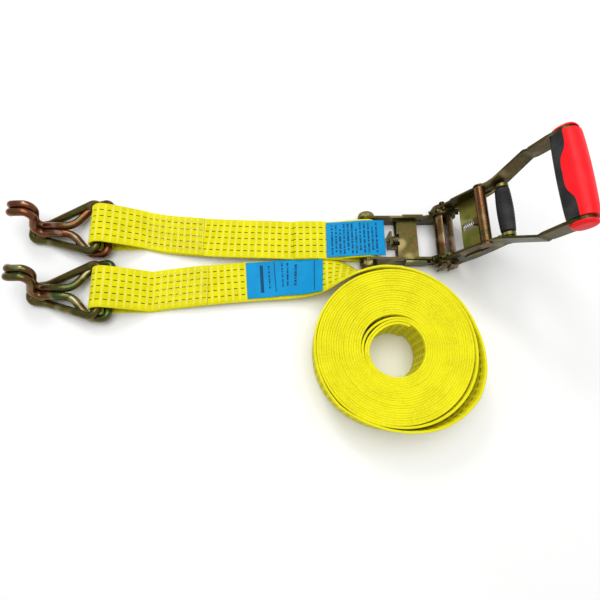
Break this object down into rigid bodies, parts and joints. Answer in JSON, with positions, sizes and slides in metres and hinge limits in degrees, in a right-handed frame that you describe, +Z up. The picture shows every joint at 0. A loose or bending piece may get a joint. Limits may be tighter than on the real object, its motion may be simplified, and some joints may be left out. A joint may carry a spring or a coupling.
{
  "type": "ratchet tie down",
  "caption": "Ratchet tie down: webbing strap with wire hook on a ratchet buckle, and a long webbing strap with a matching hook, wound into a coil.",
  "frame": {"origin": "middle of the laid-out set's bounding box in plan, on the plane it lies on", "axes": "+X from the hooks towards the grip, +Y across the webbing away from the long strap, +Z up"},
  "size_m": [0.614, 0.2854, 0.1693],
  "materials": {
    "zinc": "yellow zinc plated pressed steel",
    "zinc_bolt": "yellow zinc plated steel fasteners",
    "zinc_bar": "yellow zinc plated drawn steel bar",
    "spring_steel": "plain spring wire",
    "black_rubber": "matt moulded rubber",
    "red_plastic": "satin moulded plastic",
    "webbing": "woven polyester webbing",
    "label": "coated woven label"
  },
  "bodies": {
    "ratchet_frame": {"frame_channel": "zinc", "anchor_bolt": "zinc_bolt", "anchor_nut": "zinc_bolt", "anchor_washers": "zinc_bolt", "anchor_sleeve": "zinc_bolt", "lock_pawl_spring": "spring_steel"},
    "spindle": {"spindle_bar_left": "zinc_bar", "spindle_bar_right": "zinc_bar", "ratchet_wheel_far": "zinc", "ratchet_wheel_near": "zinc", "spindle_washers": "zinc_bolt", "split_pins": "spring_steel"},
    "handle": {"handle_plate_far": "zinc", "handle_plate_near": "zinc", "handle_spacer_rod": "zinc_bar", "drive_spring_seat": "zinc", "grip_tube": "zinc_bar", "grip_body": "black_rubber", "grip_cover": "red_plastic", "grip_cap_far": "red_plastic", "grip_cap_near": "red_plastic", "drive_pawl_spring": "spring_steel"},
    "drive_pawl": {"drive_pawl": "zinc", "finger_bar": "zinc_bar", "finger_sleeve": "black_rubber"},
    "lock_pawl": {"lock_pawl": "zinc"},
    "fixed_strap": {"fixed_webbing": "webbing", "fixed_label": "label"},
    "fixed_hook": {"fixed_hook_wire": "zinc_bar", "fixed_hook_ring": "zinc_bar", "fixed_hook_welds": "zinc"},
    "long_strap": {"long_webbing_run": "webbing", "long_webbing_coil": "webbing", "long_label": "label"},
    "long_hook": {"long_hook_wire": "zinc_bar", "long_hook_ring": "zinc_bar", "long_hook_welds": "zinc"}
  },
  "joints": [
    {"name": "spindle_spin", "type": "hinge", "parent": "ratchet_frame", "child": "spindle", "pos_m": [0.21722, 0.08678, 0.0198], "axis": [0, 1, 0], "continuous": true},
    {"name": "handle_pivot", "type": "hinge", "parent": "ratchet_frame", "child": "handle", "pos_m": [0.21722, 0.08678, 0.0198], "axis": [0, -1, 0], "range_deg": [-59, 91]},
    {"name": "drive_pawl_draw", "type": "slide", "parent": "handle", "child": "drive_pawl", "axis": [0.515, 0, 0.8572], "range_m": [-0.0029, 0.004], "stiffness_N_per_m": 800, "deforming": ["drive_pawl_spring"]},
    {"name": "lock_pawl_draw", "type": "slide", "parent": "ratchet_frame", "child": "lock_pawl", "axis": [-1, 0, 0], "range_m": [0, 0.007], "stiffness_N_per_m": 800, "springref_m": -0.006, "deforming": ["lock_pawl_spring"]},
    {"name": "fixed_strap_swing", "type": "hinge", "parent": "ratchet_frame", "child": "fixed_strap", "pos_m": [0.12422, 0.08678, 0.0106], "axis": [0, 1, 0], "range_deg": [0, 40]},
    {"name": "fixed_hook_swing", "type": "hinge", "parent": "fixed_strap", "child": "fixed_hook", "pos_m": [-0.19928, 0.10418, 0.0154], "axis": [-0.0349, 0.9994, 0], "range_deg": [-45, 60]},
    {"name": "long_strap_lift", "type": "slide", "parent": "ratchet_frame", "child": "long_strap", "axis": [0, 0, 1], "range_m": [0, 0.15]},
    {"name": "long_hook_swing", "type": "hinge", "parent": "long_strap", "child": "long_hook", "pos_m": [-0.18978, 0.02378, 0.0154], "axis": [-0.0262, 0.9997, 0], "range_deg": [-45, 60]}
  ]
}
